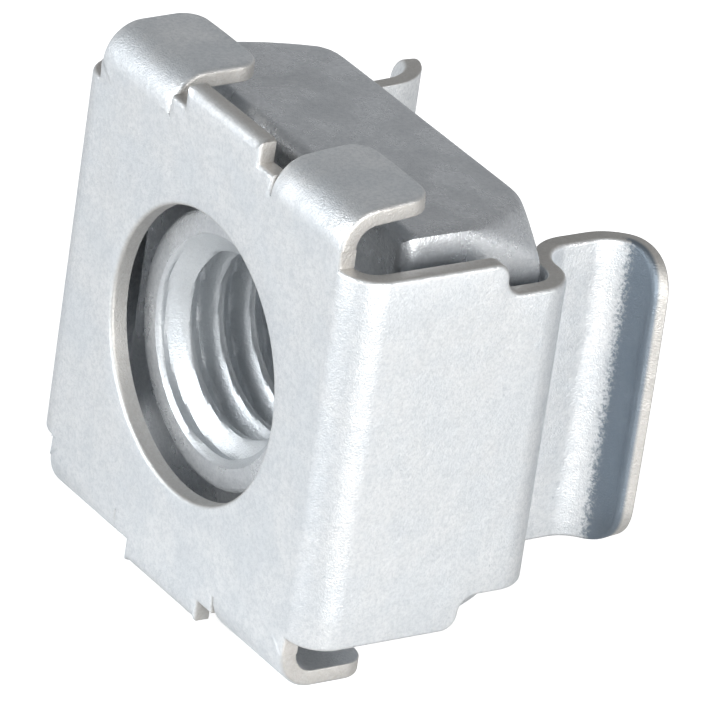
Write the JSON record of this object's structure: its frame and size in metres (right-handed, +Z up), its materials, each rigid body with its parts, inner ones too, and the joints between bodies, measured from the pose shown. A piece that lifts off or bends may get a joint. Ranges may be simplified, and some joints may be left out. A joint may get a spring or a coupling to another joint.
{
  "type": "rack cage nut",
  "caption": "Square nut with a round collar, held loosely in a folded spring steel cage whose two curled ears snap into the square hole of a rack rail.",
  "frame": {"origin": "on the thread's axis, halfway along the nut", "axes": "+Y along the thread's axis to the rail and the ears, +Z up along the ears' height, +X across the cage"},
  "size_m": [0.0144, 0.0105, 0.0142],
  "materials": {
    "sheet": "bright zinc plating on spring steel sheet, with fine mottling",
    "nut": "zinc plating on steel, with a fine satin grain"
  },
  "bodies": {
    "root": {"cage": "sheet", "square_nut": "nut"}
  },
  "joints": []
}
